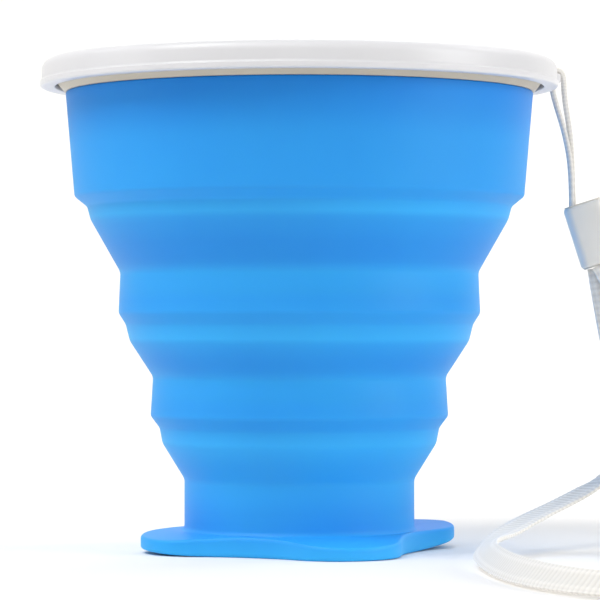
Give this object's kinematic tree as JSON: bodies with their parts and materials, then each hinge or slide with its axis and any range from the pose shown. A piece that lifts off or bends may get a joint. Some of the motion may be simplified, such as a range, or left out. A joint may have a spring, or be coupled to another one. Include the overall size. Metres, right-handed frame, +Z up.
{
  "type": "collapsible travel cup",
  "caption": "Tapered silicone cup of stepped rings that presses flat, with a hard mouth ring, a press-on lid and a wrist lanyard.",
  "frame": {"origin": "middle of the base's underside, on the cup's axis", "axes": "+Z up along the cup's axis, +X towards the side where the lanyard hangs"},
  "size_m": [0.1189, 0.1452, 0.0824],
  "materials": {
    "silicone": "satin",
    "ring_plastic": "satin",
    "lid_plastic": "satin",
    "sleeve_plastic": "gloss",
    "nylon_cord": "braided",
    "woven_strap": "woven"
  },
  "bodies": {
    "rim": {"top_band": "silicone", "mouth_ring": "ring_plastic", "upper_fold": "silicone"},
    "lid": {"lid": "lid_plastic", "lanyard_cord": "nylon_cord", "lanyard_sleeve": "sleeve_plastic", "wrist_strap": "woven_strap"},
    "upper_stage": {"upper_ring": "silicone", "middle_fold": "silicone"},
    "lower_stage": {"lower_ring": "silicone", "lower_fold": "silicone"},
    "base": {"base_cup": "silicone"}
  },
  "joints": [
    {"name": "lid_lift", "type": "slide", "parent": "rim", "child": "lid", "axis": [0, 0, 1], "range_m": [0, 0.03]},
    {"name": "upper_fold_slide", "type": "slide", "parent": "rim", "child": "upper_stage", "axis": [0, 0, -1], "range_m": [-0.022, 0], "deforming": ["upper_fold"]},
    {"name": "middle_fold_slide", "type": "slide", "parent": "upper_stage", "child": "lower_stage", "axis": [0, 0, -1], "range_m": [-0.0176, 0], "deforming": ["middle_fold"]},
    {"name": "lower_fold_slide", "type": "slide", "parent": "lower_stage", "child": "base", "axis": [0, 0, -1], "range_m": [-0.0172, 0], "deforming": ["lower_fold"]}
  ]
}
